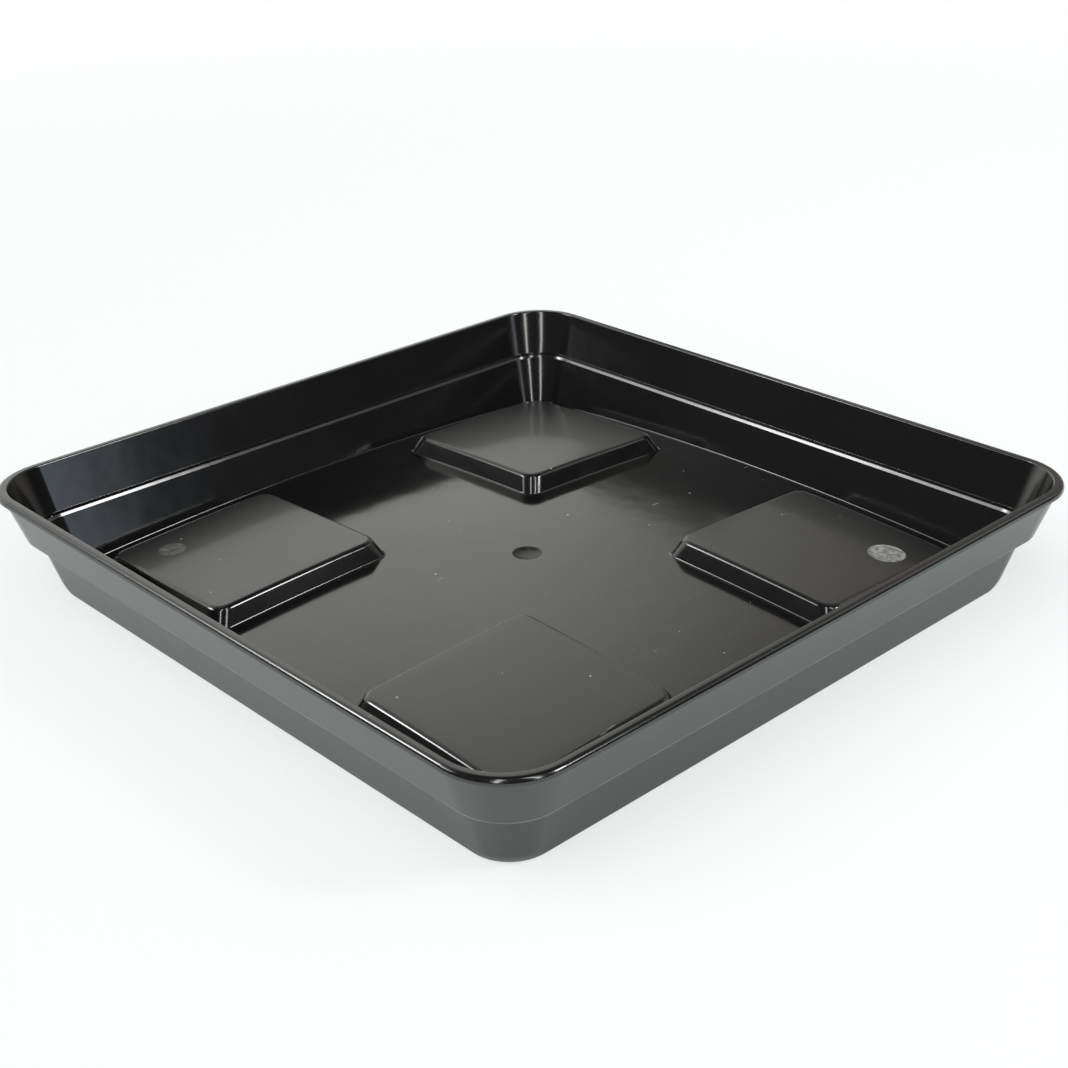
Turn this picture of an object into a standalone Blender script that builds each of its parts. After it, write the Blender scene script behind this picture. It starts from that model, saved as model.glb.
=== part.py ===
"""Square plant saucer, one thin-walled plastic moulding.

The saucer is centred on the origin with its sides along X and Y, and stands on the plane z = 0.
A standing edge runs round the foot. Inside it the floor is crowned, highest in the middle, and
carries four raised corner pads that are hollow from below. The wall goes up in two leaning tiers
with a ledge between them and ends in a narrow lip. All lengths are in metres.
"""

import math

import bmesh
import bpy
from mathutils import Vector

# Whole tray
TRAY_WIDTH = 0.400  # across the outer edges of the lip
TRAY_HEIGHT = 0.0588  # from the standing edge to the top of the lip
LIP_CORNER = 0.033  # corner radius at the lip, seen from above
BASE_CORNER = 0.016  # corner radius at the standing edge
WALL = 0.0024  # thickness of walls and floor

# Lip
LIP_WIDTH = 0.0048  # top of the lip, inner edge to outer edge
LIP_THICKNESS = 0.0024
LIP_ROUND = 0.0006  # rounding of the lip's edges

# Two-tier wall
UPPER_FLARE = 0.0080  # lean of the upper wall over its height
SHOULDER_WIDTH = 0.0060  # step between the tiers on the outside
SHOULDER_HEIGHT = 0.0310  # upper edge of that step
SHOULDER_DROP = 0.0032  # from the step's upper edge to its lower edge
LOWER_FLARE = 0.0079  # lean of the lower wall over its height
LEDGE_WIDTH = 0.0038  # step between the tiers on the inside
LEDGE_RISE = 0.0030  # inner step above the outer one
STEP_ROUND = 0.0012  # rounding of both steps' edges

# Floor
FOOT_DEPTH = 0.0026  # underside of the floor above the standing edge, at the corners
CROWN = 0.0122  # rise of the floor from its corners to its middle

# Corner pads
PAD_CHANNEL = 0.100  # width of the channels of the cross between the pads
GUTTER = 0.0153  # between a pad and the wall
PAD_HEIGHT = 0.0097
PAD_DRAFT = 0.0048  # lean of a pad's sides over its height
PAD_CORNER = 0.0070  # rounding of a pad's upright edges

# Round recesses left by the mould
GATE_DIAMETER = 0.0146
GATE_DEPTH = 0.0008
RIGHT_MARK_DIAMETER = 0.0190
RIGHT_MARK_PLACE = (0.1235, -0.1350)
LEFT_MARK_DIAMETER = 0.0140
LEFT_MARK_PLACE = (-0.1300, 0.1305)
MARK_DEPTH = 0.0004
CUTTER_REACH = 0.0030  # how far a cutter stands out of the surface it cuts

# Faceting
CORNER_STEPS = 8  # facets round each corner of the tray
ROUND_STEPS = 2  # facets of a rounded edge of the wall
PAD_CORNER_STEPS = 3
CHANNEL_CUTS = 4  # strips of floor across a channel
PAD_CUTS = 3  # strips of floor across a pad
MARK_SIDES = 24
WELD = 0.00001
SHARP_ANGLE = math.radians(25)

# Plastic
PLASTIC_COLOUR = (0.012, 0.012, 0.013, 1.0)
PLASTIC_ROUGHNESS = 0.22

# Sizes that follow from the ones above
TRAY_HALF = TRAY_WIDTH / 2
WALL_TOP_HALF = TRAY_HALF - (LIP_WIDTH - WALL)
SHOULDER_OUT_HALF = WALL_TOP_HALF - UPPER_FLARE
SHOULDER_IN_HALF = SHOULDER_OUT_HALF - SHOULDER_WIDTH
BASE_HALF = SHOULDER_IN_HALF - LOWER_FLARE
FLOOR_HALF = BASE_HALF - WALL
LIP_UNDER = TRAY_HEIGHT - LIP_THICKNESS
LEDGE_HEIGHT = SHOULDER_HEIGHT + LEDGE_RISE
PAD_INNER = PAD_CHANNEL / 2
PAD_OUTER = FLOOR_HALF - GUTTER
PAD_CENTRE = (PAD_INNER + PAD_OUTER) / 2
PAD_HALF = (PAD_OUTER - PAD_INNER) / 2


def clear_scene():
    """Remove every object of the scene."""
    for thing in list(bpy.data.objects):
        bpy.data.objects.remove(thing, do_unlink=True)


def plastic():
    """Return the black plastic of the moulding."""
    material = bpy.data.materials.new("black_plastic")
    material.use_nodes = True
    shader = material.node_tree.nodes["Principled BSDF"]
    shader.inputs["Base Color"].default_value = PLASTIC_COLOUR
    shader.inputs["Roughness"].default_value = PLASTIC_ROUGHNESS
    shader.inputs["Metallic"].default_value = 0.0
    return material


def corner_radius(half):
    """Return the corner radius of the ring with this half width; it grows from the base to the lip."""
    part_way = (half - BASE_HALF) / (TRAY_HALF - BASE_HALF)
    return BASE_CORNER + (LIP_CORNER - BASE_CORNER) * part_way


def on_ring(point, old_half, half, height):
    """Move a point from one rounded square to the matching place on another."""
    old_core = old_half - corner_radius(old_half)
    core = half - corner_radius(half)
    across = Vector((abs(point.x), abs(point.y)))
    if min(across) > old_core - WELD:
        turn = Vector((across.x - old_core, across.y - old_core)).normalized()
        across = Vector((core, core)) + turn * corner_radius(half)
    elif across.x > across.y:
        across.x = half
    else:
        across.y = half
    return Vector((math.copysign(across.x, point.x), math.copysign(across.y, point.y), height))


def crown_height(x, y):
    """Return the height of the floor's upper face."""
    spread = (x * x + y * y) / (2 * FLOOR_HALF ** 2)
    return FOOT_DEPTH + WALL + CROWN * (1 - spread)


def crown_normal(x, y):
    """Return the direction square to the crowned floor."""
    slope = CROWN / FLOOR_HALF ** 2
    return Vector((slope * x, slope * y, 1)).normalized()


def floor_stations():
    """Return where the floor is divided, the same along X and Y."""
    channel = [PAD_CHANNEL * (step / CHANNEL_CUTS - 0.5) for step in range(CHANNEL_CUTS + 1)]
    pad = [PAD_INNER + 2 * PAD_HALF * step / PAD_CUTS for step in range(1, PAD_CUTS + 1)]
    return [-place for place in reversed(pad)] + channel + pad


def flat_floor(mesh):
    """Add the floor as a flat rounded square, divided along the pads and channels."""
    outline = []
    radius = corner_radius(FLOOR_HALF)
    reach = (FLOOR_HALF - radius) * math.sqrt(2)
    for quarter in range(4):
        start = quarter * math.pi / 2
        centre_angle = start + math.pi / 4
        centre = Vector((math.cos(centre_angle), math.sin(centre_angle), 0)) * reach
        for step in range(CORNER_STEPS + 1):
            angle = start + step / CORNER_STEPS * math.pi / 2
            outline.append(centre + Vector((math.cos(angle), math.sin(angle), 0)) * radius)
    mesh.faces.new([mesh.verts.new(point) for point in outline])
    for direction in (Vector((1, 0, 0)), Vector((0, 1, 0))):
        for place in floor_stations():
            everything = mesh.verts[:] + mesh.edges[:] + mesh.faces[:]
            bmesh.ops.bisect_plane(mesh, geom=everything, plane_co=direction * place, plane_no=direction)


def raise_pad(mesh, side_x, side_y):
    """Raise one corner pad out of the flat floor, with leaning sides and rounded upright edges."""
    centre = Vector((side_x * PAD_CENTRE, side_y * PAD_CENTRE, 0))
    inside = [face for face in mesh.faces if within_pad(face.calc_center_median(), centre)]
    raised = bmesh.ops.extrude_face_region(mesh, geom=inside)["geom"]
    top = [item for item in raised if isinstance(item, bmesh.types.BMVert)]
    shrink = (PAD_HALF - PAD_DRAFT) / PAD_HALF
    for vertex in top:
        vertex.co = centre + (vertex.co - centre) * shrink
        vertex.co.z = PAD_HEIGHT
    bmesh.ops.delete(mesh, geom=[face for face in inside if face.is_valid], context="FACES")
    corners = [edge for vertex in top for edge in vertex.link_edges if is_upright_corner(edge, centre)]
    bmesh.ops.bevel(mesh, geom=corners, offset=PAD_CORNER, offset_type="OFFSET", segments=PAD_CORNER_STEPS,
                    profile=0.5, affect="EDGES", material=-1)


def within_pad(point, centre):
    """Tell whether a point of the floor lies in the pad with this centre."""
    return abs(point.x - centre.x) < PAD_HALF and abs(point.y - centre.y) < PAD_HALF


def is_upright_corner(edge, centre):
    """Tell whether an edge is one of the four upright edges of a pad."""
    low, high = sorted(edge.verts, key=lambda vertex: vertex.co.z)
    from_centre = low.co - centre
    at_corner = min(abs(from_centre.x), abs(from_centre.y)) > PAD_HALF - WELD
    return at_corner and high.co.z - low.co.z > PAD_HEIGHT / 2


def boundary(mesh):
    """Return the open edges of a mesh."""
    return [edge for edge in mesh.edges if edge.is_boundary]


def add_underside(mesh):
    """Add the floor's lower face, one wall thickness below the upper one, and return its rim."""
    mesh.normal_update()
    upper = mesh.verts[:] + mesh.edges[:] + mesh.faces[:]
    copy = bmesh.ops.duplicate(mesh, geom=upper)
    lower_of = copy["vert_map"]
    rim = {vertex for edge in mesh.edges if edge.is_boundary for vertex in edge.verts}
    moves = {}
    for vertex in [item for item in upper if isinstance(item, bmesh.types.BMVert)]:
        if vertex in rim:
            moves[lower_of[vertex]] = Vector((0, 0, -WALL))
        else:
            moves[lower_of[vertex]] = -vertex.normal * WALL * vertex.calc_shell_factor()
    for vertex, move in moves.items():
        vertex.co += move
    lower_faces = [item for item in copy["geom"] if isinstance(item, bmesh.types.BMFace)]
    bmesh.ops.reverse_faces(mesh, faces=lower_faces)
    return [edge for edge in boundary(mesh) if edge.verts[0] in moves]


def wall_corners():
    """Return the wall's section as half width, height and rounding, from the standing edge over the lip."""
    inner_top = WALL_TOP_HALF - WALL
    ledge_back = SHOULDER_OUT_HALF - WALL
    return [
        (FLOOR_HALF, 0, 0),
        (BASE_HALF, 0, 0),
        (SHOULDER_IN_HALF, SHOULDER_HEIGHT - SHOULDER_DROP, STEP_ROUND),
        (SHOULDER_OUT_HALF, SHOULDER_HEIGHT, STEP_ROUND),
        (WALL_TOP_HALF, LIP_UNDER, 0),
        (TRAY_HALF, LIP_UNDER, LIP_ROUND),
        (TRAY_HALF, TRAY_HEIGHT, LIP_ROUND),
        (inner_top, TRAY_HEIGHT, LIP_ROUND),
        (ledge_back, LEDGE_HEIGHT, STEP_ROUND),
        (ledge_back - LEDGE_WIDTH, LEDGE_HEIGHT, STEP_ROUND),
        (FLOOR_HALF, FOOT_DEPTH + WALL, 0),
    ]


def rounded_corner(before, corner, after, radius):
    """Return points of the arc that rounds a corner of the wall's section."""
    to_before = (before - corner).normalized()
    to_after = (after - corner).normalized()
    half_angle = to_before.angle(to_after) / 2
    centre = corner + (to_before + to_after).normalized() * radius / math.sin(half_angle)
    first = (corner + to_before * radius / math.tan(half_angle) - centre).normalized()
    last = (corner + to_after * radius / math.tan(half_angle) - centre).normalized()
    return [centre + first.slerp(last, step / ROUND_STEPS) * radius for step in range(ROUND_STEPS + 1)]


def wall_section():
    """Return the rings of the wall, its corners rounded, without the last one on the floor."""
    corners = [(Vector((half, height)), radius) for half, height, radius in wall_corners()]
    rings = [corners[0][0]]
    for (before, _), (corner, radius), (after, _) in zip(corners, corners[1:], corners[2:]):
        rings += rounded_corner(before, corner, after, radius) if radius else [corner]
    return rings


def raise_wall(mesh, rim):
    """Carry the floor's lower rim round the wall's section and down to the floor's upper rim."""
    old_half = FLOOR_HALF
    for half, height in wall_section():
        rim = next_ring(mesh, rim)
        for vertex in {vertex for edge in rim for vertex in edge.verts}:
            vertex.co = on_ring(vertex.co, old_half, half, height)
        old_half = half
    floor_rim = [edge for edge in boundary(mesh) if edge not in rim]
    bmesh.ops.bridge_loops(mesh, edges=rim + floor_rim)


def next_ring(mesh, edges):
    """Extrude a closed ring of edges and return the new ring."""
    new = bmesh.ops.extrude_edge_only(mesh, edges=edges)["geom"]
    return [item for item in new if isinstance(item, bmesh.types.BMEdge)]


def moulding():
    """Return the saucer as one closed body."""
    mesh = bmesh.new()
    flat_floor(mesh)
    for side_x in (-1, 1):
        for side_y in (-1, 1):
            raise_pad(mesh, side_x, side_y)
    for vertex in mesh.verts:
        vertex.co.z += crown_height(vertex.co.x, vertex.co.y)
    raise_wall(mesh, add_underside(mesh))
    bmesh.ops.recalc_face_normals(mesh, faces=mesh.faces[:])
    data = bpy.data.meshes.new("saucer")
    mesh.to_mesh(data)
    mesh.free()
    saucer = bpy.data.objects.new("saucer", data)
    bpy.context.collection.objects.link(saucer)
    data.materials.append(plastic())
    data.shade_smooth()
    data.set_sharp_from_angle(angle=SHARP_ANGLE)
    return saucer


def cut_round_recess(saucer, name, place, on_pad, diameter, depth):
    """Sink a shallow round recess into the floor or into the top of a pad."""
    x, y = place
    normal = crown_normal(x, y)
    surface = Vector((x, y, crown_height(x, y) + (PAD_HEIGHT if on_pad else 0)))
    mesh = bmesh.new()
    bmesh.ops.create_cone(mesh, cap_ends=True, segments=MARK_SIDES, radius1=diameter / 2, radius2=diameter / 2,
                          depth=depth + CUTTER_REACH)
    data = bpy.data.meshes.new(name)
    mesh.to_mesh(data)
    mesh.free()
    cutter = bpy.data.objects.new(name, data)
    bpy.context.collection.objects.link(cutter)
    cutter.location = surface + normal * (CUTTER_REACH - depth) / 2
    cutter.rotation_mode = "QUATERNION"
    cutter.rotation_quaternion = Vector((0, 0, 1)).rotation_difference(normal)
    cutter.hide_render = True
    cutter.display_type = "WIRE"
    cut = saucer.modifiers.new(name, "BOOLEAN")
    cut.operation = "DIFFERENCE"
    cut.object = cutter


def main():
    """Build the saucer and sink its three round recesses."""
    clear_scene()
    saucer = moulding()
    cut_round_recess(saucer, "gate_recess", (0, 0), False, GATE_DIAMETER, GATE_DEPTH)
    cut_round_recess(saucer, "right_mark", RIGHT_MARK_PLACE, True, RIGHT_MARK_DIAMETER, MARK_DEPTH)
    cut_round_recess(saucer, "left_mark", LEFT_MARK_PLACE, True, LEFT_MARK_DIAMETER, MARK_DEPTH)


main()
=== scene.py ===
"""Looks of a square plant saucer: one glossy black moulding standing on a pale studio floor.

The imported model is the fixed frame. The saucer is centred on the origin with its sides along X and Y
and stands on the plane z = 0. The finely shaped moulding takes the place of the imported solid, with the
same sizes and with its edges and fillets rounded. All lengths are in metres.
"""

import logging
import math
from dataclasses import dataclass, field
from enum import Enum

import bmesh
import bpy
from bmesh.types import BMEdge, BMesh, BMFace, BMVert
from bpy.types import Camera, Light, Material, Mesh, Node, NodeSocket, NodeTree, Object, World
from mathutils import Matrix, Vector


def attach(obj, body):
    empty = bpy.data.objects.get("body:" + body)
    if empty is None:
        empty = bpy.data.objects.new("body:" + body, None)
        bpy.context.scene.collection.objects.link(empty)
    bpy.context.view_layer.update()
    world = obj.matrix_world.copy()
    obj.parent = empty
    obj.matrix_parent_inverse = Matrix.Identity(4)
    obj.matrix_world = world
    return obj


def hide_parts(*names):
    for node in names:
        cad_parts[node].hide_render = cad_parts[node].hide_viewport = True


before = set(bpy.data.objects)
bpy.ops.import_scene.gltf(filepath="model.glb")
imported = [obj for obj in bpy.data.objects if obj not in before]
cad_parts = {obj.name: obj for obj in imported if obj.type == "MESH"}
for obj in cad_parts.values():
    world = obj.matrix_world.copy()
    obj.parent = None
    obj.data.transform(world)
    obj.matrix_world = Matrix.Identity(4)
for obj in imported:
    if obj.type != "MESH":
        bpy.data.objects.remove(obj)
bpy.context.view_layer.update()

LOG = logging.getLogger("saucer")
WELD = 0.00001
UP = Vector((0, 0, 1))

LIP_HALF = 0.2000
WALL = 0.0024
FOOT_DEPTH = 0.0026
PAD_INNER = 0.0500
PAD_OUTER = 0.1580

Colour = tuple[float, float, float, float]
Triple = tuple[float, float, float]
Span = tuple[float, float]
Socket = NodeSocket
Number = float | Socket


class Finish(Enum):
    """Material slots of the moulding, in the order in which they are filled."""

    PLASTIC = 0
    # The two pad marks share one insert finish; their lighter and darker colours are painted light and
    # painted shade.
    LIT_MARK = 1
    SHADED_MARK = 2
    GATE = 3


@dataclass
class NodeBoard:
    """A node tree that is being wired."""

    tree: NodeTree

    def add(self, kind: str, inputs: dict[str | int, object] | None = None,
            **settings: object) -> Node:
        """Add one node.

        Args:
            kind: Blender's type name of the node.
            inputs: Values or output sockets, by the name or number of the input socket.
            **settings: Properties of the node.

        Returns:
            The new node.
        """
        node = self.tree.nodes.new(kind)
        for name, value in settings.items():
            setattr(node, name, value)
        for name, value in (inputs or {}).items():
            if isinstance(value, NodeSocket):
                self.tree.links.new(value, node.inputs[name])
            else:
                node.inputs[name].default_value = value
        return node

    def join(self, output: Socket, node: Node, name: str) -> None:
        """Link an output to the input of a node that is already there."""
        self.tree.links.new(output, node.inputs[name])

    def place(self) -> Socket:
        """Add the object's own coordinates."""
        return self.add("ShaderNodeTexCoord").outputs["Object"]

    def part(self, vector: Socket, axis: str) -> Socket:
        """Add the X, Y or Z part of a vector."""
        return self.add("ShaderNodeSeparateXYZ", {"Vector": vector}).outputs[axis]

    def maths(self, operation: str, first: Number, second: Number = 0.0, clamp: bool = False) -> Socket:
        """Add one calculation on two numbers or sockets.

        Args:
            operation: Blender's name of the operation.
            first: The first number or output socket.
            second: The second number or output socket.
            clamp: Whether the result is held between 0 and 1.

        Returns:
            The result's socket.
        """
        node = self.add("ShaderNodeMath", {0: first, 1: second}, operation=operation, use_clamp=clamp)
        return node.outputs[0]

    def times(self, first: Number, *others: Number) -> Socket:
        """Multiply two or more numbers or sockets.

        Args:
            first: The first number or output socket.
            *others: The ones that it is multiplied by, in turn.

        Returns:
            The product's socket.
        """
        for factor in others:
            first = self.maths("MULTIPLY", first, factor)
        return first

    def along(self, vector: Socket, direction: Vector | Socket) -> Socket:
        """Add how far a vector reaches along a direction."""
        node = self.add("ShaderNodeVectorMath", {0: vector, 1: direction}, operation="DOT_PRODUCT")
        return node.outputs["Value"]

    def scaled(self, vector: Triple | Socket, share: Socket) -> Socket:
        """Add a vector times a number."""
        node = self.add("ShaderNodeVectorMath", {0: vector, "Scale": share}, operation="SCALE")
        return node.outputs["Vector"]

    def summed(self, first: Socket, second: Triple | Socket) -> Socket:
        """Add the sum of two vectors."""
        node = self.add("ShaderNodeVectorMath", {0: first, 1: second}, operation="ADD")
        return node.outputs["Vector"]

    def mixed(self, share: Socket, first: Colour | Socket, second: Colour | Socket) -> Socket:
        """Add a mix of two colours, all of the second where the share is 1."""
        node = self.add("ShaderNodeMix", {"Factor": share, 6: first, 7: second}, data_type="RGBA")
        return node.outputs[2]

    def spread(self, value: Socket, low: float, high: float, to_low: Number = 0.0, to_high: Number = 1.0,
               smooth: bool = True) -> Socket:
        """Map a range of values to another range.

        Args:
            value: The socket that is mapped.
            low: Start of the range that is read.
            high: End of the range that is read.
            to_low: The number or socket that the start becomes.
            to_high: The number or socket that the end becomes.
            smooth: Whether the ends of the range are eased.

        Returns:
            The mapped socket.
        """
        kind = "SMOOTHSTEP" if smooth else "LINEAR"
        node = self.add("ShaderNodeMapRange", {"Value": value, "From Min": low, "From Max": high,
                                               "To Min": to_low, "To Max": to_high},
                        interpolation_type=kind)
        return node.outputs["Result"]


def new_material(name: str) -> tuple[Material, NodeBoard]:
    """Make a material with Blender's plain shader in it.

    Args:
        name: The material's name.

    Returns:
        The material, and the board on which its nodes are wired.
    """
    material = bpy.data.materials.new(name)
    material.use_nodes = True
    return material, NodeBoard(material.node_tree)


def in_scene(data: Mesh | Light | Camera) -> Object:
    """Put a mesh, lamp or camera into the scene.

    Args:
        data: The mesh, lamp or camera.

    Returns:
        Its new object, which has the same name.
    """
    thing = bpy.data.objects.new(data.name, data)
    bpy.context.scene.collection.objects.link(thing)
    return thing


def as_object(mesh: BMesh, name: str) -> Object:
    """Put a finished mesh into the scene.

    Args:
        mesh: The mesh, which is used up.
        name: The name of its object.

    Returns:
        The object.
    """
    data = bpy.data.meshes.new(name)
    mesh.to_mesh(data)
    mesh.free()
    return in_scene(data)


def everything_in(mesh: BMesh) -> list[BMVert | BMEdge | BMFace]:
    """List all vertices, edges and faces of a mesh."""
    return mesh.verts[:] + mesh.edges[:] + mesh.faces[:]


def round_off(mesh: BMesh, items: list[BMVert] | list[BMEdge], radius: float, steps: int,
              affect: str = "EDGES") -> None:
    """Round some edges of a mesh, or some corners of a flat one.

    Args:
        mesh: The mesh that is rounded.
        items: Its edges or vertices that are rounded.
        radius: How far the rounding reaches.
        steps: How many steps the rounding has.
        affect: Blender's word for whether edges or vertices are rounded.
    """
    bmesh.ops.bevel(mesh, geom=items, offset=radius, offset_type="OFFSET", segments=steps, profile=0.5,
                    affect=affect, material=-1)


@dataclass(frozen=True)
class Ring:
    """One level of the wall: a rounded square, with its corners drawn in by a larger radius or not."""

    half: float
    height: float
    tuck: float = 0.0


@dataclass(frozen=True)
class RoundedSquares:
    """The family of rounded squares that the wall's rings follow, wider corners on wider rings."""

    lip_half: float = LIP_HALF
    base_half: float = 0.1757
    lip_corner: float = 0.033
    base_corner: float = 0.016

    def corner_radius(self, ring: Ring) -> float:
        """Return the corner radius of a ring."""
        part_way = (ring.half - self.base_half) / (self.lip_half - self.base_half)
        return self.base_corner + (self.lip_corner - self.base_corner) * part_way + ring.tuck

    def carry(self, point: Vector, old: Ring, new: Ring) -> Vector:
        """Move a point from one ring to the matching place on another.

        Args:
            point: The point on the old ring.
            old: The old ring.
            new: The new ring.

        Returns:
            The point on the new ring.
        """
        old_core = old.half - self.corner_radius(old)
        core = new.half - self.corner_radius(new)
        across = Vector((abs(point.x), abs(point.y)))
        if min(across) > old_core - WELD:
            turn = Vector((across.x - old_core, across.y - old_core)).normalized()
            across = Vector((core, core)) + turn * self.corner_radius(new)
        else:
            along = 0 if across.x < across.y else 1
            across[along] *= core / old_core
            across[1 - along] = new.half
        return Vector((math.copysign(across.x, point.x), math.copysign(across.y, point.y), new.height))


@dataclass
class TrayFloor:
    """The crowned floor: a sheet of plastic, highest in the middle of the tray."""

    half: float = 0.1733
    wall: float = WALL
    foot_depth: float = FOOT_DEPTH
    crown: float = 0.0122
    pad_inner: float = PAD_INNER
    pad_outer: float = PAD_OUTER
    corner_steps: int = 12
    channel_cuts: int = 10
    pad_cuts: int = 12

    def height_at(self, x: float, y: float) -> float:
        """Return the height of the floor's upper face."""
        spread = (x * x + y * y) / (2 * self.half ** 2)
        return self.foot_depth + self.wall + self.crown * (1 - spread)

    def normal_at(self, x: float, y: float) -> Vector:
        """Return the direction square to the crowned floor."""
        slope = self.crown / self.half ** 2
        return Vector((slope * x, slope * y, 1)).normalized()

    def stations(self) -> list[float]:
        """Work out where the floor is divided, the same along X and Y.

        Returns:
            Places in order, with one at each edge of a pad.
        """
        channel_width = 2 * self.pad_inner
        pad_width = self.pad_outer - self.pad_inner
        channel = [channel_width * (step / self.channel_cuts - 0.5) for step in range(self.channel_cuts + 1)]
        pad = [self.pad_inner + pad_width * step / self.pad_cuts for step in range(1, self.pad_cuts + 1)]
        return [-place for place in reversed(pad)] + channel + pad

    def lay(self, mesh: BMesh, rings: RoundedSquares) -> None:
        """Lay the floor as a flat rounded square, divided along the pads and channels.

        Args:
            mesh: The mesh that the floor is added to.
            rings: The family of rounded squares.
        """
        bmesh.ops.create_grid(mesh, x_segments=1, y_segments=1, size=self.half)
        radius = rings.corner_radius(Ring(self.half, 0))
        round_off(mesh, mesh.verts[:], radius, self.corner_steps, affect="VERTICES")
        core = self.half - radius
        for vertex in mesh.verts:
            centre = Vector((math.copysign(core, vertex.co.x), math.copysign(core, vertex.co.y), 0))
            vertex.co = centre + (vertex.co - centre).normalized() * radius
        for direction in (Vector((1, 0, 0)), Vector((0, 1, 0))):
            for place in self.stations():
                bmesh.ops.bisect_plane(mesh, geom=everything_in(mesh), plane_co=direction * place,
                                       plane_no=direction)

    def raise_crown(self, mesh: BMesh) -> None:
        """Lift every point of the flat floor by the crown's height there."""
        for vertex in mesh.verts:
            vertex.co.z += self.height_at(vertex.co.x, vertex.co.y)

    def add_underside(self, mesh: BMesh) -> list[BMEdge]:
        """Add the floor's lower face, one wall thickness below the upper one.

        Args:
            mesh: The mesh that holds only the upper face.

        Returns:
            The rim of the lower face.
        """
        mesh.normal_update()
        upper = everything_in(mesh)
        copy = bmesh.ops.duplicate(mesh, geom=upper)
        lower_of = copy["vert_map"]
        rim = {vertex for edge in mesh.edges if edge.is_boundary for vertex in edge.verts}
        moves = {}
        for vertex in [item for item in upper if isinstance(item, BMVert)]:
            if vertex in rim:
                moves[lower_of[vertex]] = -UP * self.wall
                continue
            raised = vertex.co.z - self.height_at(vertex.co.x, vertex.co.y)
            place = vertex.co - vertex.normal * self.wall * vertex.calc_shell_factor()
            below = self.wall / self.normal_at(place.x, place.y).z
            place.z = self.height_at(place.x, place.y) + raised - below
            moves[lower_of[vertex]] = place - vertex.co
        for vertex, move in moves.items():
            vertex.co += move
        lower_faces = [item for item in copy["geom"] if isinstance(item, BMFace)]
        bmesh.ops.reverse_faces(mesh, faces=lower_faces)
        return [edge for edge in mesh.edges if edge.is_boundary and edge.verts[0] in moves]


@dataclass
class CornerPad:
    """One raised corner pad with leaning sides, hollow from below."""

    side_x: int
    side_y: int
    centre: float = (PAD_OUTER + PAD_INNER) / 2
    half: float = (PAD_OUTER - PAD_INNER) / 2
    height: float = 0.0097
    draft: float = 0.0048
    corner: float = 0.0070
    corner_steps: int = 6

    def middle(self) -> Vector:
        """Return the middle of the pad on the flat floor."""
        return Vector((self.side_x * self.centre, self.side_y * self.centre, 0))

    def covers(self, point: Vector) -> bool:
        """Tell whether a point of the floor lies in the pad."""
        away = point - self.middle()
        return abs(away.x) < self.half and abs(away.y) < self.half

    def is_upright_corner(self, edge: BMEdge) -> bool:
        """Tell whether an edge is one of the pad's four upright edges.

        Args:
            edge: An edge that ends at the pad's top.

        Returns:
            Whether it goes up from a corner of the pad.
        """
        low, high = sorted(edge.verts, key=lambda vertex: vertex.co.z)
        away = low.co - self.middle()
        at_corner = min(abs(away.x), abs(away.y)) > self.half - WELD
        return at_corner and high.co.z - low.co.z > self.height / 2

    def raise_from(self, mesh: BMesh) -> None:
        """Raise the pad out of the flat floor and round its upright edges.

        Args:
            mesh: The mesh of the flat floor.
        """
        inside = [face for face in mesh.faces if self.covers(face.calc_center_median())]
        raised = bmesh.ops.extrude_face_region(mesh, geom=inside)["geom"]
        top = [item for item in raised if isinstance(item, BMVert)]
        shrink = (self.half - self.draft) / self.half
        for vertex in top:
            vertex.co = self.middle() + (vertex.co - self.middle()) * shrink
            vertex.co.z = self.height
        bmesh.ops.delete(mesh, geom=[face for face in inside if face.is_valid], context="FACES")
        corners = {edge for vertex in top for edge in vertex.link_edges if self.is_upright_corner(edge)}
        ordered = sorted(corners, key=lambda edge: tuple(edge.verts[0].co + edge.verts[1].co))
        round_off(mesh, ordered, self.corner, self.corner_steps)


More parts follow.
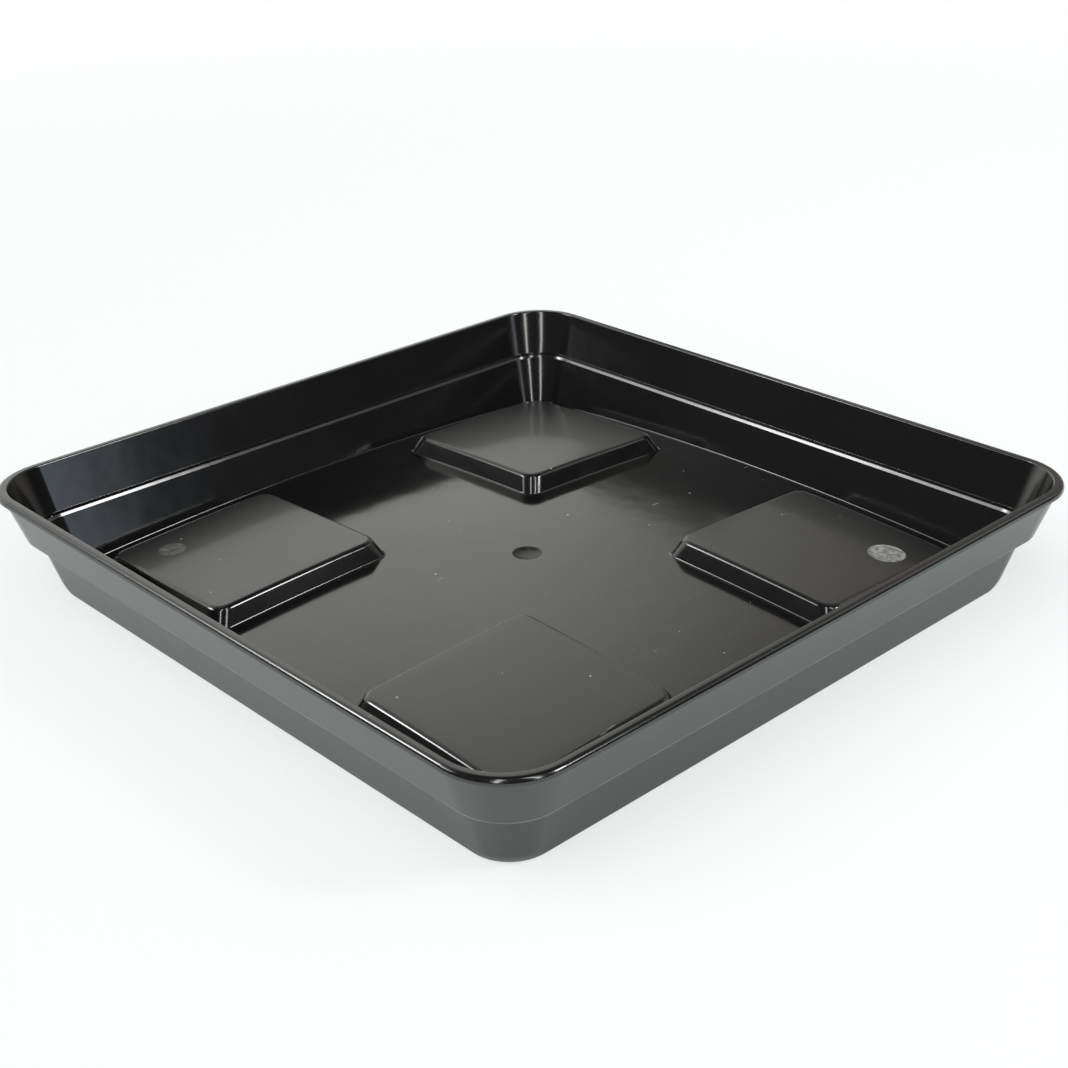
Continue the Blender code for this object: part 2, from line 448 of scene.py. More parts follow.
@dataclass
class TwoTierWall:
    """The wall: two leaning tiers with a ledge between them, ending in a narrow turned-out lip."""

    wall: float = WALL
    height: float = 0.0588
    lip_half: float = LIP_HALF
    lip_width: float = 0.0048
    lip_thickness: float = 0.0034
    lip_edge: float = 0.0024
    lip_lower_edge: float = 0.0003
    lip_inner_edge: float = 0.0010
    lip_root: float = 0.0004
    upper_flare: float = 0.0080
    shoulder_width: float = 0.0060
    shoulder_height: float = 0.0310
    shoulder_drop: float = 0.0032
    lower_flare: float = 0.0079
    shoulder_round: float = 0.0006
    ledge_width: float = 0.0038
    ledge_rise: float = 0.0030
    ledge_slope_width: float = 0.0011
    ledge_slope_drop: float = 0.0016
    ledge_round: float = 0.0008
    ledge_root: float = 0.0003
    foot_depth: float = FOOT_DEPTH
    foot_edge: float = 0.0016
    foot_inner_edge: float = 0.0004
    corner_tuck: float = 0.0050
    corner_tuck_height: float = 0.0060
    corner_tuck_steps: int = 4
    round_steps: int = 5

    def corners(self) -> list[tuple[Vector, float]]:
        """List the section's corners, from inside the standing edge over the lip to the floor.

        Returns:
            Pairs of a point, by half width and height, and the radius of its rounding.
        """
        wall_top = self.lip_half - (self.lip_width - self.wall)
        shoulder_out = wall_top - self.upper_flare
        shoulder_in = shoulder_out - self.shoulder_width
        base = shoulder_in - self.lower_flare
        floor = base - self.wall
        lip_under = self.height - self.lip_thickness
        ledge = self.shoulder_height + self.ledge_rise
        ledge_back = shoulder_out - self.wall
        ledge_front = ledge_back - self.ledge_width
        shoulder_low = Vector((shoulder_in, self.shoulder_height - self.shoulder_drop))
        foot = Vector((base, 0))
        rise = self.corner_tuck_height / shoulder_low.y
        tuck_levels = [rise * step / self.corner_tuck_steps for step in range(2, self.corner_tuck_steps + 1)]
        return [
            (Vector((floor, self.foot_depth)), 0),
            (Vector((floor, 0)), self.foot_inner_edge),
            (foot, self.foot_edge),
            *[(foot.lerp(shoulder_low, level), 0) for level in tuck_levels],
            (shoulder_low, self.shoulder_round),
            (Vector((shoulder_out, self.shoulder_height)), self.shoulder_round),
            (Vector((wall_top, lip_under)), self.lip_root),
            (Vector((self.lip_half, lip_under)), self.lip_lower_edge),
            (Vector((self.lip_half, self.height)), self.lip_edge),
            (Vector((wall_top - self.wall, self.height)), self.lip_inner_edge),
            (Vector((ledge_back, ledge)), self.ledge_root),
            (Vector((ledge_front + self.ledge_slope_width, ledge)), self.ledge_round),
            (Vector((ledge_front, ledge - self.ledge_slope_drop)), self.ledge_round),
            (Vector((floor, self.foot_depth + self.wall)), 0),
        ]

    def inner_half_at(self, height: float) -> float:
        """Return the half width of the lower tier's inner face at a height."""
        (top, _), (bottom, _) = self.corners()[-2:]
        return bottom.x + (height - bottom.y) * (top.x - bottom.x) / (top.y - bottom.y)

    def arc(self, before: Vector, corner: Vector, after: Vector, radius: float) -> list[Vector]:
        """Round one corner of the section.

        Args:
            before: The corner before it.
            corner: The corner itself.
            after: The corner after it.
            radius: The rounding.

        Returns:
            Points of the arc, from the side of before to the side of after.
        """
        to_before = (before - corner).normalized()
        to_after = (after - corner).normalized()
        half_angle = to_before.angle(to_after) / 2
        centre = corner + (to_before + to_after).normalized() * radius / math.sin(half_angle)
        first = (corner + to_before * radius / math.tan(half_angle) - centre).normalized()
        last = (corner + to_after * radius / math.tan(half_angle) - centre).normalized()
        shares = [step / self.round_steps for step in range(self.round_steps + 1)]
        return [centre + first.slerp(last, share) * radius for share in shares]

    def section(self) -> list[Ring]:
        """Round all corners of the section.

        Returns:
            The rings of the wall in order.
        """
        corners = self.corners()
        points = []
        for (before, _), (corner, radius), (after, _) in zip(corners, corners[1:], corners[2:]):
            points += self.arc(before, corner, after, radius) if radius else [corner]
        return [Ring(point.x, point.y, self.tuck_at(point.y)) for point in points]

    def tuck_at(self, height: float) -> float:
        """Return how much rounder the corners are near the standing edge."""
        return self.corner_tuck * max(0.0, 1 - height / self.corner_tuck_height) ** 2

    def raise_from(self, mesh: BMesh, rim: list[BMEdge], floor_half: float,
                   rings: RoundedSquares) -> None:
        """Carry the floor's lower rim round the wall's section and down to the floor's upper rim.

        Args:
            mesh: The mesh of the floor.
            rim: The rim of the floor's lower face.
            floor_half: Half width of that rim.
            rings: The family of rounded squares.
        """
        old_ring = Ring(floor_half, 0)
        for ring in self.section():
            grown = bmesh.ops.extrude_edge_only(mesh, edges=rim)["geom"]
            rim = [item for item in grown if isinstance(item, BMEdge)]
            for vertex in {vertex for edge in rim for vertex in edge.verts}:
                vertex.co = rings.carry(vertex.co, old_ring, ring)
            old_ring = ring
        floor_rim = [edge for edge in mesh.edges if edge.is_boundary and edge not in rim]
        for vertex in {vertex for edge in floor_rim for vertex in edge.verts}:
            level = vertex.co.z
            onto = Ring(self.inner_half_at(level), level)
            vertex.co = rings.carry(vertex.co, Ring(floor_half, level), onto)
        bmesh.ops.bridge_loops(mesh, edges=rim + floor_rim)


@dataclass
class RoundMark:
    """A shallow round recess that the mould leaves in the floor or in the top of a pad.

    The profile's pairs are a distance from the mark's middle and a height, from its rim inwards.
    """

    name: str
    x: float
    y: float
    lift: float
    radius: float
    profile: list[tuple[float, float]]
    finish: Finish
    margin: float = 0.0012
    half_cell: float = 0.0048
    facing_up: float = 0.9
    steps: int = 48

    def clear_patch(self, mesh: BMesh, centre: Vector) -> list[BMEdge]:
        """Take the floor's faces round the mark away.

        Args:
            mesh: The mesh of the moulding.
            centre: The mark's place on the surface.

        Returns:
            The edges of the hole that is left.
        """
        reach = self.radius + self.margin + self.half_cell
        patch = []
        for face in mesh.faces:
            away = face.calc_center_median() - centre
            close = max(abs(away.x), abs(away.y)) < reach and abs(away.z) < self.margin
            if close and face.normal.z > self.facing_up:
                patch.append(face)
        bmesh.ops.delete(mesh, geom=patch, context="FACES")
        return [edge for edge in mesh.edges if edge.is_boundary]

    def spin_dish(self, mesh: BMesh, centre: Vector, normal: Vector) -> None:
        """Spin the profile into a dish that is still open in its middle.

        Args:
            mesh: The mesh of the moulding.
            centre: The mark's place on the surface.
            normal: The direction square to the surface.
        """
        chain = [mesh.verts.new(centre + Vector((out, 0, up))) for out, up in self.profile]
        edges = [mesh.edges.new(pair) for pair in zip(chain, chain[1:])]
        before = set(mesh.faces)
        bmesh.ops.spin(mesh, geom=chain + edges, cent=centre, axis=UP, angle=2 * math.pi, steps=self.steps,
                       use_merge=True)
        dish = [face for face in mesh.faces if face not in before]
        points = list({vertex for face in dish for vertex in face.verts})
        tilt = UP.rotation_difference(normal).to_matrix()
        bmesh.ops.rotate(mesh, verts=points, cent=centre, matrix=tilt)
        for face in dish:
            face.material_index = self.finish.value

    def sink(self, mesh: BMesh, floor: TrayFloor) -> None:
        """Sink the mark into the surface: a spun dish, closed in its middle and joined to the hole's edges.

        Args:
            mesh: The mesh of the closed moulding.
            floor: The floor that gives the surface's height and slope.
        """
        centre = Vector((self.x, self.y, floor.height_at(self.x, self.y) + self.lift))
        hole = self.clear_patch(mesh, centre)
        self.spin_dish(mesh, centre, floor.normal_at(self.x, self.y))
        ring = [edge for edge in mesh.edges if edge.is_boundary and edge not in hole]
        nearest = min((edge.verts[0].co - centre).length for edge in ring)
        middle = [edge for edge in ring if (edge.verts[0].co - centre).length < nearest + WELD]
        filled = bmesh.ops.edgeloop_fill(mesh, edges=middle, mat_nr=self.finish.value)["faces"]
        for face in filled:
            face.smooth = True
        outer = [edge for edge in ring if edge not in middle]
        skirt = bmesh.ops.bridge_loops(mesh, edges=hole + outer)["faces"]
        for face in skirt:
            face.material_index = Finish.PLASTIC.value


@dataclass(frozen=True)
class Clouds:
    """A cloudy pattern on the object's own coordinates, finer for a larger scale."""

    scale: float
    detail: float
    roughness: float = 0.5

    def wire(self, board: NodeBoard) -> Socket:
        """Wire the pattern, mostly between 0.3 and 0.7."""
        sizes = {"Scale": self.scale, "Detail": self.detail, "Roughness": self.roughness}
        return board.add("ShaderNodeTexNoise", {"Vector": board.place(), **sizes}).outputs["Fac"]


@dataclass(frozen=True)
class Spots:
    """Small spots, one at most in each cell of a plan view.

    The scale is in cells to a unit of the coordinates, the rarity is the share of the cells that have no
    spot, and the radius of the largest spot is in cells.
    """

    scale: float
    rarity: float
    largest: float
    strength: float = 1.0
    smallest_share: float = 0.35
    soft_share: float = 0.3

    def wire(self, board: NodeBoard, place: Socket) -> Socket:
        """Wire the spots.

        Args:
            board: The material's nodes.
            place: The coordinates that the cells divide.

        Returns:
            A socket with the strength on a spot and 0 elsewhere.
        """
        cells = board.add("ShaderNodeTexVoronoi", {"Vector": place, "Scale": self.scale},
                          voronoi_dimensions="2D")
        chance = board.add("ShaderNodeSeparateColor", {"Color": cells.outputs["Color"]}).outputs["Red"]
        reach = board.spread(chance, self.rarity, 1.0, self.largest * self.smallest_share, self.largest,
                             smooth=False)
        there = board.maths("GREATER_THAN", chance, self.rarity)
        inwards = board.maths("SUBTRACT", reach, cells.outputs["Distance"])
        near = board.spread(inwards, 0.0, self.largest * self.soft_share)
        return board.times(near, there, self.strength)


@dataclass(frozen=True)
class BlackPlastic:
    """Polished black plastic with duller pad tops, faint waves, short scratches, specks of dust and a
    painted highlight line along the shoulder.
    """

    name: str = "black_plastic"
    dark: Colour = (0.0040, 0.0040, 0.0040, 1.0)
    light: Colour = (0.0062, 0.0061, 0.0060, 1.0)
    dust: Colour = (0.46, 0.46, 0.44, 1.0)
    # Colour of the painted highlight line along the shoulder's outer edge.
    shoulder_glint: Colour = (0.085, 0.088, 0.088, 1.0)
    reflectivity: float = 1.0
    wall_gloss: float = 0.12
    floor_gloss: float = 0.09
    floor_edge: float = 0.1690
    wall_edge: float = 0.1770
    pad_gloss: float = 0.34
    pad_coat: float = 0.40
    pad_coat_gloss: float = 0.11
    pad_inner: float = 0.0550
    pad_outer: float = 0.1530
    pad_fade: float = 0.001
    facing_up: Span = (0.80, 0.95)
    haze: Clouds = Clouds(scale=9.0, detail=5.0, roughness=0.6)
    haze_range: Span = (0.35, 0.65)
    unevenness: float = 0.04
    dust_dullness: float = 0.40
    waves: Clouds = Clouds(scale=30.0, detail=2.0)
    grain: Clouds = Clouds(scale=900.0, detail=2.0)
    grain_share: float = 0.004
    relief_strength: float = 0.09
    relief_depth: float = 0.002
    # Height, width, facing and patches of the painted highlight line along the shoulder.
    glint_height: float = 0.0313
    glint_width: Span = (0.0007, 0.0003)
    glint_outwards: Span = (0.02, 0.06)
    glint_patches: Clouds = Clouds(scale=60.0, detail=3.0)
    glint_range: Span = (0.35, 0.60)
    glint_least: float = 0.25
    large_specks: Spots = Spots(scale=42.0, rarity=0.80, largest=0.026)
    small_specks: Spots = Spots(scale=130.0, rarity=0.86, largest=0.030, strength=0.45)
    scratches: Spots = Spots(scale=1.0, rarity=0.955, largest=0.075, strength=0.30)
    scratch_turn: Triple = (0.0, 0.0, 0.7)
    scratch_cells: Triple = (22.0, 170.0, 1.0)

    def make(self) -> Material:
        """Mix the plastic.

        Returns:
            The plastic as a material.
        """
        material, board = new_material(self.name)
        shader = material.node_tree.nodes["Principled BSDF"]
        shader.inputs["Specular IOR Level"].default_value = self.reflectivity
        shader.inputs["Coat Roughness"].default_value = self.pad_coat_gloss
        haze = self.haze.wire(board)
        dirt = self.dirt(board)
        pad_top = self.pad_top(board)
        dusty = board.mixed(dirt, board.mixed(haze, self.dark, self.light), self.dust)
        # The painted highlight line along the shoulder is mixed into the base colour here.
        board.join(board.mixed(self.painted_glint(board), dusty, self.shoulder_glint), shader, "Base Color")
        board.join(board.times(pad_top, self.pad_coat), shader, "Coat Weight")
        gloss = board.maths("ADD", self.polish(board, pad_top),
                            board.spread(haze, *self.haze_range, 0.0, self.unevenness))
        dull = board.maths("ADD", gloss, board.times(dirt, self.dust_dullness), clamp=True)
        board.join(dull, shader, "Roughness")
        board.join(self.relief(board), shader, "Normal")
        return material

    def relief(self, board: NodeBoard) -> Socket:
        """Wire faint waves and a finer grain.

        Args:
            board: The material's nodes.

        Returns:
            A socket with the uneven surface's direction.
        """
        grain = board.times(self.grain.wire(board), self.grain_share)
        height = board.maths("ADD", self.waves.wire(board), grain)
        bump = board.add("ShaderNodeBump", {"Height": height, "Strength": self.relief_strength,
                                            "Distance": self.relief_depth})
        return bump.outputs["Normal"]

    def pad_top(self, board: NodeBoard) -> Socket:
        """Wire a mask of the pads' tops.

        Args:
            board: The material's nodes.

        Returns:
            A socket that is 1 on the tops of the pads and 0 elsewhere.
        """
        far_x, far_y = self.off_middle(board)
        past_channel = board.spread(board.maths("MINIMUM", far_x, far_y),
                                    self.pad_inner, self.pad_inner + self.pad_fade)
        before_gutter = board.spread(board.maths("MAXIMUM", far_x, far_y),
                                     self.pad_outer, self.pad_outer - self.pad_fade)
        return board.times(past_channel, before_gutter, self.upwards(board))

    def off_middle(self, board: NodeBoard) -> tuple[Socket, Socket]:
        """Wire how far a point is from the saucer's middle along X and along Y.

        Args:
            board: The material's nodes.

        Returns:
            The two sockets.
        """
        place = board.place()
        far_x = board.maths("ABSOLUTE", board.part(place, "X"))
        far_y = board.maths("ABSOLUTE", board.part(place, "Y"))
        return far_x, far_y

    def upwards(self, board: NodeBoard) -> Socket:
        """Wire a mask that is 1 where the surface faces up and 0 where it is steep."""
        facing = board.add("ShaderNodeNewGeometry").outputs["Normal"]
        return board.spread(board.part(facing, "Z"), *self.facing_up)

    def polish(self, board: NodeBoard, pad_top: Socket) -> Socket:
        """Wire the roughness: low on the walls and the floor, higher on the pads' tops.

        Args:
            board: The material's nodes.
            pad_top: Mask of the pads' tops.

        Returns:
            A socket with the roughness.
        """
        reach = board.maths("MAXIMUM", *self.off_middle(board))
        level = board.spread(self.upwards(board), 0.0, 1.0, self.wall_gloss, self.floor_gloss)
        inside = board.spread(pad_top, 0.0, 1.0, level, self.pad_gloss)
        return board.spread(reach, self.floor_edge, self.wall_edge, inside, self.wall_gloss)

    def painted_glint(self, board: NodeBoard) -> Socket:
        """Wire the painted highlight: a fine lighter line along the outer edge of the shoulder, broken into
        patches.

        Args:
            board: The material's nodes.

        Returns:
            A socket that is 1 on the painted highlight line and 0 elsewhere.
        """
        place = board.place()
        outwards = board.along(board.add("ShaderNodeNewGeometry").outputs["Normal"], place)
        off = board.maths("ABSOLUTE", board.maths("SUBTRACT", board.part(place, "Z"), self.glint_height))
        patches = board.spread(self.glint_patches.wire(board), *self.glint_range, self.glint_least, 1.0)
        return board.times(board.spread(off, *self.glint_width),
                           board.spread(outwards, *self.glint_outwards), patches)

    def dirt(self, board: NodeBoard) -> Socket:
        """Wire specks of dust and short scratches, which show where the surface faces up.

        Args:
            board: The material's nodes.

        Returns:
            A socket that is up to 1 on a speck or scratch and 0 elsewhere.
        """
        place = board.place()
        turned = board.add("ShaderNodeMapping", {"Vector": place, "Rotation": self.scratch_turn,
                                                 "Scale": self.scratch_cells}).outputs["Vector"]
        specks = board.maths("MAXIMUM", self.large_specks.wire(board, place),
                             self.small_specks.wire(board, place))
        most = board.maths("MAXIMUM", specks, self.scratches.wire(board, turned))
        return board.times(most, self.upwards(board))


@dataclass(frozen=True)
class MarkFinish:
    """The duller surface that a mould insert leaves, with a fine grain."""

    name: str
    dark: Colour
    light: Colour
    roughness: float
    grain: Clouds = Clouds(scale=350.0, detail=4.0)
    tone_range: Span = (0.36, 0.64)
    gloss_range: Span = (0.3, 0.7)
    gloss_change: float = 0.06
    relief_strength: float = 0.15
    relief_depth: float = 0.0004

    def make(self) -> Material:
        """Mix the mark's surface.

        Returns:
            The surface as a material.
        """
        material, board = new_material(self.name)
        shader = material.node_tree.nodes["Principled BSDF"]
        grain = self.grain.wire(board)
        tone = board.mixed(board.spread(grain, *self.tone_range), self.dark, self.light)
        gloss = board.spread(grain, *self.gloss_range, self.roughness - self.gloss_change,
                             self.roughness + self.gloss_change)
        bump = board.add("ShaderNodeBump", {"Height": grain, "Strength": self.relief_strength,
                                            "Distance": self.relief_depth})
        board.join(tone, shader, "Base Color")
        board.join(gloss, shader, "Roughness")
        board.join(bump.outputs["Normal"], shader, "Normal")
        return material


@dataclass
class Saucer:
    """The whole moulding: floor, corner pads, wall and mould marks in one closed mesh."""

    rings: RoundedSquares = field(default_factory=RoundedSquares)
    floor: TrayFloor = field(default_factory=TrayFloor)
    wall: TwoTierWall = field(default_factory=TwoTierWall)
    pads: list[CornerPad] = field(default_factory=lambda: [
        CornerPad(side_x, side_y) for side_x in (-1, 1) for side_y in (-1, 1)])
    pad_top_round: float = 0.0020
    pad_foot_fillet: float = 0.0009
    floor_fillet: float = 0.0010
    underside_round: float = 0.0008
    fillet_steps: int = 4
    crease: float = math.radians(40)

    def marks(self) -> list[RoundMark]:
        """List the gate recess in the middle and the two marks on the pads.

        Returns:
            The marks, in the order in which they are sunk.
        """
        pad_height = self.pads[0].height
        gate = [(0.0078, 0.0), (0.0074, -0.00008), (0.0071, -0.00032), (0.0066, -0.00068),
                (0.0056, -0.00100), (0.0040, -0.00124), (0.0022, -0.00136), (0.0008, -0.00140)]
        right = [(0.0097, 0.0), (0.0095, -0.00006), (0.0094, -0.00030), (0.0092, -0.00040),
                 (0.0050, -0.00040), (0.0012, -0.00040), (0.0009, -0.00025), (0.0004, -0.00020)]
        left = [(0.0072, 0.0), (0.0070, -0.00005), (0.0068, -0.00025), (0.0064, -0.00036),
                (0.0030, -0.00040), (0.0008, -0.00040)]
        return [
            RoundMark("gate_recess", x=0.0, y=0.0, lift=0.0, radius=0.0073, profile=gate,
                      finish=Finish.GATE),
            RoundMark("right_mark", x=0.1235, y=-0.1350, lift=pad_height, radius=0.0095, profile=right,
                      finish=Finish.LIT_MARK),
            RoundMark("left_mark", x=-0.1300, y=0.1305, lift=pad_height, radius=0.0070, profile=left,
                      finish=Finish.SHADED_MARK),
        ]

    def round_creases(self, mesh: BMesh) -> None:
        """Round the pads' edges and fillet the floor's edges, on both faces of the sheet.

        Args:
            mesh: The mesh of the closed moulding.
        """
        mesh.normal_update()
        lowest = self.wall.foot_edge
        creases = [edge for edge in mesh.edges if abs(edge.calc_face_angle(0.0)) > self.crease
                   and min(vertex.co.z for vertex in edge.verts) > lowest]
        groups = {self.floor_fillet: [], self.pad_top_round: [], self.pad_foot_fillet: [],
                  self.underside_round: []}
        for edge in creases:
            groups[self.rounding_of(edge)].append(edge)
        for radius, edges in groups.items():
            alive = [edge for edge in edges if edge.is_valid]
            round_off(mesh, alive, radius, self.fillet_steps)

    def rounding_of(self, edge: BMEdge) -> float:
        """Tell which rounding an edge of the floor or of a pad gets.

        Args:
            edge: A sharp edge of the moulding.

        Returns:
            The rounding's radius.
        """
        middle = (edge.verts[0].co + edge.verts[1].co) / 2
        upper = sum(face.normal.z for face in edge.link_faces) > 0
        if not upper:
            return self.underside_round
        if max(abs(middle.x), abs(middle.y)) > self.floor.pad_outer + self.floor_fillet:
            return self.floor_fillet
        return self.pad_top_round if edge.is_convex else self.pad_foot_fillet

    def build(self) -> Object:
        """Build the moulding.

        Returns:
            Its object, without materials.
        """
        mesh = bmesh.new()
        self.floor.lay(mesh, self.rings)
        for pad in self.pads:
            pad.raise_from(mesh)
        self.floor.raise_crown(mesh)
        rim = self.floor.add_underside(mesh)
        self.wall.raise_from(mesh, rim, self.floor.half, self.rings)
        bmesh.ops.recalc_face_normals(mesh, faces=mesh.faces[:])
        self.round_creases(mesh)
        for mark in self.marks():
            mesh.normal_update()
            mark.sink(mesh, self.floor)
            LOG.info("%s sunk into the moulding", mark.name)
        bmesh.ops.recalc_face_normals(mesh, faces=mesh.faces[:])
        moulding = as_object(mesh, "saucer_moulding")
        moulding.data.shade_smooth()
        even = moulding.modifiers.new("even_shading", "WEIGHTED_NORMAL")
        even.mode = "FACE_AREA"
        even.weight = 50
        return moulding

    def dress(self, moulding: Object) -> None:
        """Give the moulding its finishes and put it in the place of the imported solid.

        Args:
            moulding: The moulding's object.
        """
        finishes = {
            Finish.PLASTIC: BlackPlastic(),
            # One mould-insert finish in two colours: painted lighter on the right pad's mark and painted
            # darker on the left pad's mark.
            Finish.LIT_MARK: MarkFinish("lit_mark", dark=(0.14, 0.14, 0.14, 1),
                                         light=(0.29, 0.29, 0.28, 1), roughness=0.42),
            Finish.SHADED_MARK: MarkFinish("shaded_mark", dark=(0.042, 0.042, 0.042, 1),
                                         light=(0.11, 0.11, 0.105, 1), roughness=0.40),
            Finish.GATE: MarkFinish("gate_recess", dark=(0.006, 0.006, 0.006, 1),
                                    light=(0.018, 0.018, 0.018, 1), roughness=0.36),
        }
        for finish in Finish:
            moulding.data.materials.append(finishes[finish].make())
        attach(moulding, "root")
        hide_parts("saucer")


@dataclass
class StudioFloor:
    """The plain pale floor that the saucer stands on."""

    reach: float = 12.0
    colour: Colour = (0.80, 0.87, 0.86, 1.0)
    white: Colour = (1.0, 1.0, 1.0, 1.0)
    seen_white: float = 0.62
    fade_start: float = 0.30
    fade_end: float = 2.20
    mirrored_white: float = 0.10

    def build(self) -> Object:
        """Build the floor.

        Returns:
            Its object.
        """
        mesh = bmesh.new()
        bmesh.ops.create_grid(mesh, x_segments=2, y_segments=2, size=self.reach)
        floor = as_object(mesh, "studio_floor")
        floor.data.materials.append(self.make())
        return floor

    def make(self) -> Material:
        """Mix the floor's paint: matt, and fading to pure white away from the saucer where it is seen.

        Returns:
            The paint as a material.
        """
        material, board = new_material("studio_floor")
        material.node_tree.nodes.remove(material.node_tree.nodes["Principled BSDF"])
        paint = board.add("ShaderNodeBsdfDiffuse", {"Color": self.colour})
        white = board.add("ShaderNodeEmission", {"Color": self.white})
        path = board.add("ShaderNodeLightPath")
        off = board.add("ShaderNodeVectorMath", {0: board.place()}, operation="LENGTH").outputs["Value"]
        fade = board.spread(off, self.fade_start, self.fade_end, self.seen_white, 1.0)
        seen = board.times(path.outputs["Is Camera Ray"], fade)
        mirror = board.times(path.outputs["Is Glossy Ray"], self.mirrored_white)
        share = board.maths("ADD", seen, mirror, clamp=True)
        mix = board.add("ShaderNodeMixShader", {0: share, 1: paint.outputs[0], 2: white.outputs[0]})
        board.join(mix.outputs[0], material.node_tree.nodes["Material Output"], "Surface")
        return material


@dataclass
class StudioLamp:
    """A soft box: a flat lamp that shines at the saucer.

    The azimuth is in degrees from the direction away from the camera, to the right of the picture. A lamp
    that doesn't light the floor only shows as a reflection in the glossy plastic.
    """

    name: str
    azimuth: float
    elevation: float
    distance: float
    width: float
    height: float
    power: float
    lights_floor: bool = True

    def build(self, away: Vector, right: Vector) -> Object:
        """Build the lamp.

        Args:
            away: Level direction from the camera to the saucer.
            right: Level direction to the right of the picture.

        Returns:
            The lamp's object.
        """
        turn, tilt = math.radians(self.azimuth), math.radians(self.elevation)
        level = away * math.cos(turn) + right * math.sin(turn)
        towards = level * math.cos(tilt) + UP * math.sin(tilt)
        data = bpy.data.lights.new(self.name, "AREA")
        data.shape = "RECTANGLE"
        data.size = self.width
        data.size_y = self.height
        data.energy = self.power
        lamp = in_scene(data)
        lamp.location = towards * self.distance
        lamp.rotation_mode = "QUATERNION"
        lamp.rotation_quaternion = (-towards).to_track_quat("-Z", "Y")
        lamp.visible_diffuse = self.lights_floor
        return lamp


@dataclass
class PhotoCamera:
    """The camera at the photograph's viewing angle."""

    azimuth: float = math.radians(-42.86774)
    elevation: float = math.radians(25.90470)
    roll: float = math.radians(-1.21633)
    distance: float = 0.899824
    shift_right: float = -0.003208
    shift_up: float = -0.025200
    focal: float = 1729.714
    picture: float = 1068.0
    sensor: float = 36.0
    nearest: float = 0.01
    farthest: float = 100.0

    def axes(self) -> tuple[Vector, Vector, Vector]:
        """Work out how the camera is turned.

        Returns:
            The directions to the right of the picture, up it, and back from it.
        """
        turn, tilt = self.azimuth, self.elevation
        right = Vector((math.cos(turn), math.sin(turn), 0))
        back = Vector((math.sin(turn) * math.cos(tilt), -math.cos(turn) * math.cos(tilt), math.sin(tilt)))
        up = back.cross(right)
        leaning_right = right * math.cos(self.roll) + up * math.sin(self.roll)
        leaning_up = up * math.cos(self.roll) - right * math.sin(self.roll)
        return leaning_right, leaning_up, back

    def build(self) -> Object:
        """Build the camera and make it the scene's camera.

        Returns:
            Its object.
        """
        right, up, back = self.axes()
        data = bpy.data.cameras.new("photo_camera")
        data.sensor_fit = "HORIZONTAL"
        data.sensor_width = self.sensor
        data.lens = self.focal / self.picture * self.sensor
        data.clip_start = self.nearest
        data.clip_end = self.farthest
        camera = in_scene(data)
        camera.rotation_mode = "QUATERNION"
        camera.rotation_quaternion = Matrix((right, up, back)).transposed().to_quaternion()
        camera.location = back * self.distance - right * self.shift_right - up * self.shift_up
        bpy.context.scene.camera = camera
        return camera


@dataclass(frozen=True)
class Direction:
    """A direction into the studio: its part away from the camera, its part to the right and its height."""

    ahead: Socket
    aside: Socket
    height: Socket


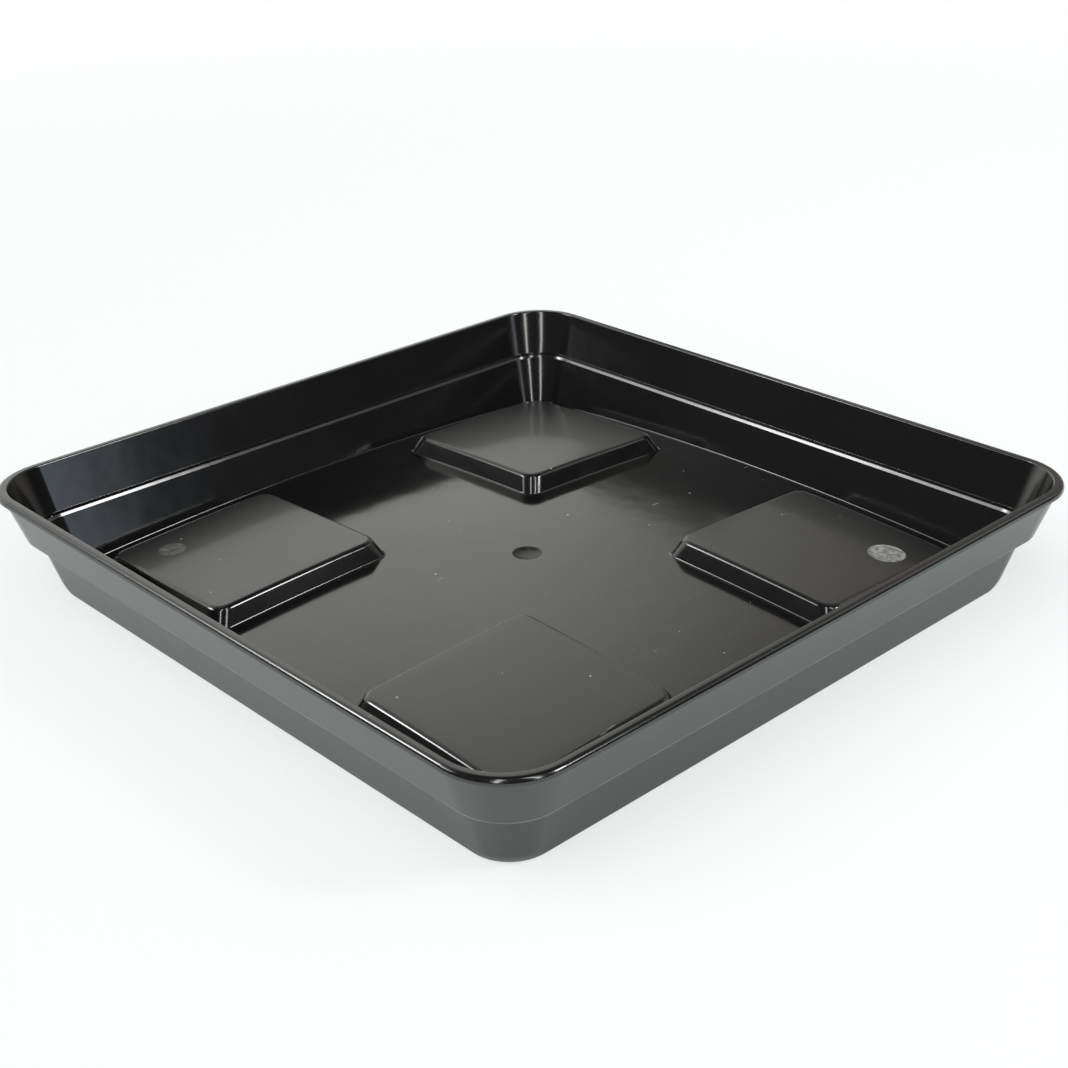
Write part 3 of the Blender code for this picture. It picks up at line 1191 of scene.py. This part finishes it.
@dataclass
class StudioSurround:
    """The studio round the saucer: white where it is seen, a lit wall and a window where it is mirrored.

    A pair gives the part of a direction at which something starts and the part at which it is complete.
    """

    away: Vector
    right: Vector
    seen: Colour = (1.0, 1.0, 1.0, 1.0)
    fill_back: Colour = (0.30, 0.30, 0.30, 1.0)
    fill_front: Colour = (2.25, 2.25, 2.25, 1.0)
    fill_turn: float = math.radians(-142)
    fill_towards: Span = (-0.2, 1.0)
    wall_left: Triple = (1.08, 1.10, 1.03)
    wall_right: Triple = (0.31, 0.29, 0.265)
    wall_aside: Span = (-0.08, 0.32)
    wall_ahead: Span = (0.0, 0.40)
    wall_fade: Span = (0.51, 0.95)
    shade_start: Span = (0.02, 0.045)
    shade_end: Span = (0.175, 0.13)
    shade_slope: float = 0.70
    shade_top: Span = (0.335, 0.316)
    shade_light: float = 0.12
    window: Triple = (0.95, 1.08, 1.22)
    window_ahead: Span = (-0.335, -0.395)
    window_height: Span = (0.34, 0.22)
    window_aside: Span = (0.86, 0.90)
    front: Triple = (0.029, 0.029, 0.029)

    def wall_light(self, board: NodeBoard, way: Direction) -> Socket:
        """Wire the lit wall behind the saucer, with a shaded patch low on its right.

        Args:
            board: The world's nodes.
            way: The direction that is lit.

        Returns:
            A socket with the wall's light.
        """
        wall = board.add("ShaderNodeMix", {"Factor": board.spread(way.aside, *self.wall_aside),
                                           4: self.wall_left, 5: self.wall_right}, data_type="VECTOR")
        over_edge = board.maths("SUBTRACT", way.height, board.times(way.aside, self.shade_slope))
        shade = board.times(board.spread(way.aside, *self.shade_start),
                            board.spread(way.aside, *self.shade_end),
                            board.spread(over_edge, *self.shade_top))
        share = board.times(board.spread(way.height, *self.wall_fade, 1.0, 0.0),
                            board.spread(shade, 0.0, 1.0, 1.0, self.shade_light),
                            board.spread(way.ahead, *self.wall_ahead))
        return board.scaled(wall.outputs[1], share)

    def window_light(self, board: NodeBoard, way: Direction) -> Socket:
        """Wire the low window at the right, on the camera's side of the saucer.

        Args:
            board: The world's nodes.
            way: The direction that is lit.

        Returns:
            A socket with the window's light.
        """
        share = board.times(board.spread(way.ahead, *self.window_ahead),
                            board.spread(way.height, *self.window_height),
                            board.spread(way.aside, *self.window_aside))
        return board.scaled(self.window, share)

    def fill_light(self, board: NodeBoard, flat: Socket) -> Socket:
        """Wire the plain light that falls on matt surfaces, stronger from the camera's left.

        Args:
            board: The world's nodes.
            flat: The level direction.

        Returns:
            A socket with the light.
        """
        axis = self.away * math.cos(self.fill_turn) + self.right * math.sin(self.fill_turn)
        share = board.spread(board.along(flat, axis), *self.fill_towards)
        return board.mixed(share, self.fill_back, self.fill_front)

    def build(self) -> World:
        """Build the surround and make it the scene's world.

        Returns:
            The world.
        """
        world = bpy.data.worlds.new("studio_surround")
        world.use_nodes = True
        board = NodeBoard(world.node_tree)
        towards = board.add("ShaderNodeTexCoord").outputs["Generated"]
        level = board.add("ShaderNodeVectorMath", {0: towards, 1: (1, 1, 0)}, operation="MULTIPLY")
        flat = board.add("ShaderNodeVectorMath", {0: level.outputs[0]}, operation="NORMALIZE").outputs[0]
        way = Direction(ahead=board.along(flat, self.away), aside=board.along(flat, self.right),
                        height=board.part(towards, "Z"))
        lights = board.summed(self.wall_light(board, way), self.window_light(board, way))
        mirrored = board.summed(lights, self.front)
        path = board.add("ShaderNodeLightPath")
        lit = board.mixed(path.outputs["Is Glossy Ray"], self.fill_light(board, flat), mirrored)
        white = board.mixed(path.outputs["Is Camera Ray"], lit, self.seen)
        board.join(white, world.node_tree.nodes["Background"], "Color")
        bpy.context.scene.world = world
        return world


def build_lamps(away: Vector, right: Vector) -> list[Object]:
    """Build the soft boxes, placed by their directions from the saucer.

    Args:
        away: Level direction from the camera to the saucer.
        right: Level direction to the right of the picture.

    Returns:
        The lamps' objects.
    """
    lamps = [
        StudioLamp("left_soft_box", azimuth=-90, elevation=35, distance=2.0, width=0.96, height=0.60,
                   power=7.0, lights_floor=False),
        StudioLamp("left_spot", azimuth=-87.5, elevation=35, distance=1.9, width=0.18, height=0.50,
                   power=3.4, lights_floor=False),
        StudioLamp("right_soft_box", azimuth=108.5, elevation=38.5, distance=2.0, width=0.39, height=0.53,
                   power=11.0),
        StudioLamp("right_back_soft_box", azimuth=76, elevation=34, distance=2.0, width=1.00, height=0.80,
                   power=1.0),
        StudioLamp("right_strip", azimuth=143, elevation=42, distance=1.7, width=0.15, height=1.80,
                   power=5.6, lights_floor=False),
        StudioLamp("left_strip", azimuth=-169, elevation=42, distance=1.7, width=0.15, height=1.80,
                   power=5.6, lights_floor=False),
    ]
    return [lamp.build(away, right) for lamp in lamps]


def main() -> None:
    """Build the saucer, the floor, the lamps and the camera in order."""
    logging.basicConfig(level=logging.INFO, format="%(message)s")
    bpy.context.scene.view_settings.view_transform = "Standard"
    saucer = Saucer()
    moulding = saucer.build()
    saucer.dress(moulding)
    LOG.info("%s built with %d faces", moulding.name, len(moulding.data.polygons))
    floor = StudioFloor().build()
    LOG.info("%s laid", floor.name)
    camera = PhotoCamera()
    LOG.info("%s placed", camera.build().name)
    right, _, back = camera.axes()
    away = -Vector((back.x, back.y, 0)).normalized()
    aside = Vector((right.x, right.y, 0)).normalized()
    LOG.info("%s made", StudioSurround(away, aside).build().name)
    for lamp in build_lamps(away, aside):
        LOG.info("%s lit", lamp.name)


if __name__ == "__main__":
    main()
